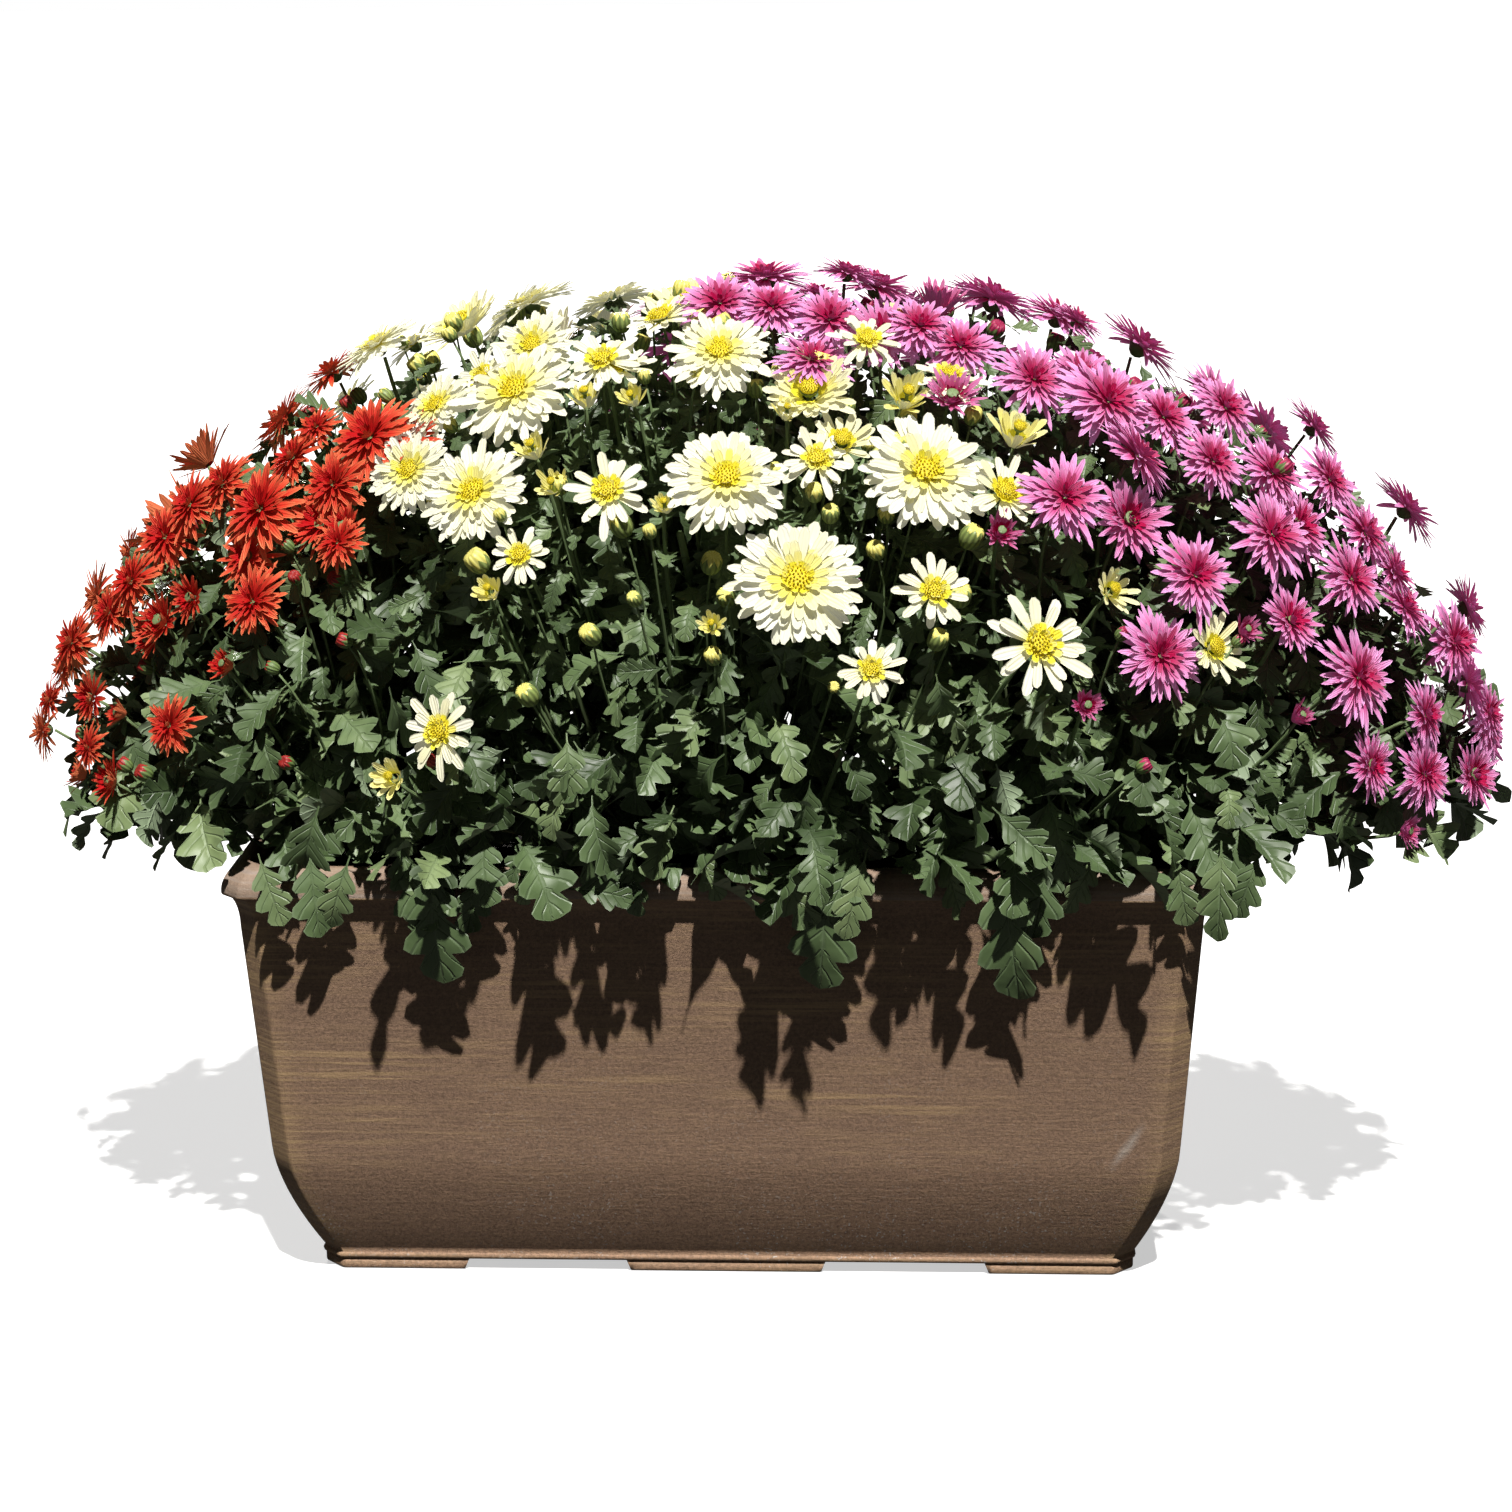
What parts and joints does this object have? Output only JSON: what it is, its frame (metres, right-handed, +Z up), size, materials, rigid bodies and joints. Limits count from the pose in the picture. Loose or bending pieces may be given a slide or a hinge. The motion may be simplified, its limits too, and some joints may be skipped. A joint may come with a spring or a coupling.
{
  "type": "planted window box",
  "caption": "Oblong moulded window box on runner feet, planted with garden chrysanthemums in orange, white and pink over leafy mounds.",
  "frame": {"origin": "middle of the centre runner's underside, where the box stands", "axes": "+X along the box towards the pink plant, +Y towards the back, +Z up"},
  "size_m": [0.85, 0.3923, 0.571],
  "materials": {
    "moulded_planter": "moulded resin in brown, dry-brushed with dull gold along the length to look like aged bronze",
    "potting_soil": "dark crumbly potting compost",
    "leaf": "matt dark green leaf, paler and greyer on its underside",
    "stem": "green stem, woody and brown at its foot",
    "orange_petal": "soft petal, coral orange with a deep red heart",
    "white_petal": "soft creamy white petal round a yellow disc",
    "pink_petal": "soft lilac pink petal with a crimson heart"
  },
  "bodies": {
    "root": {"orange_bloom_01": "orange_petal", "orange_bloom_02": "orange_petal", "orange_bloom_03": "orange_petal", "orange_bloom_04": "orange_petal", "orange_bloom_05": "orange_petal", "orange_bloom_06": "orange_petal", "orange_bloom_07": "orange_petal", "orange_bloom_08": "orange_petal", "orange_bloom_09": "orange_petal", "orange_bloom_10": "orange_petal", "orange_bloom_11": "orange_petal", "orange_bloom_12": "orange_petal", "orange_leaf_canopy": "leaf", "orange_roots_and_stems": "stem", "pink_bloom_01": "pink_petal", "pink_bloom_02": "pink_petal", "pink_bloom_03": "pink_petal", "pink_bloom_04": "pink_petal", "pink_bloom_05": "pink_petal", "pink_bloom_06": "pink_petal", "pink_bloom_07": "pink_petal", "pink_bloom_08": "pink_petal", "pink_bloom_09": "pink_petal", "pink_bloom_10": "pink_petal", "pink_bloom_11": "pink_petal", "pink_bloom_12": "pink_petal", "pink_bloom_13": "pink_petal", "pink_bloom_14": "pink_petal", "pink_bloom_15": "pink_petal", "pink_bloom_16": "pink_petal", "pink_bloom_17": "pink_petal", "pink_bloom_18": "pink_petal", "pink_bloom_19": "pink_petal", "pink_bloom_20": "pink_petal", "pink_leaf_canopy": "leaf", "pink_roots_and_stems": "stem", "planter_box": "moulded_planter", "potting_soil": "potting_soil", "trailing_leaf_1": "leaf", "trailing_leaf_2": "leaf", "trailing_leaf_3": "leaf", "white_bloom_01": "white_petal", "white_bloom_02": "white_petal", "white_bloom_03": "white_petal", "white_bloom_04": "white_petal", "white_bloom_05": "white_petal", "white_bloom_06": "white_petal", "white_bloom_07": "white_petal", "white_bloom_08": "white_petal", "white_bloom_09": "white_petal", "white_bloom_10": "white_petal", "white_bloom_11": "white_petal", "white_bloom_12": "white_petal", "white_bloom_13": "white_petal", "white_bloom_14": "white_petal", "white_bloom_15": "white_petal", "white_bloom_16": "white_petal", "white_leaf_canopy": "leaf", "white_roots_and_stems": "stem"}
  },
  "joints": []
}
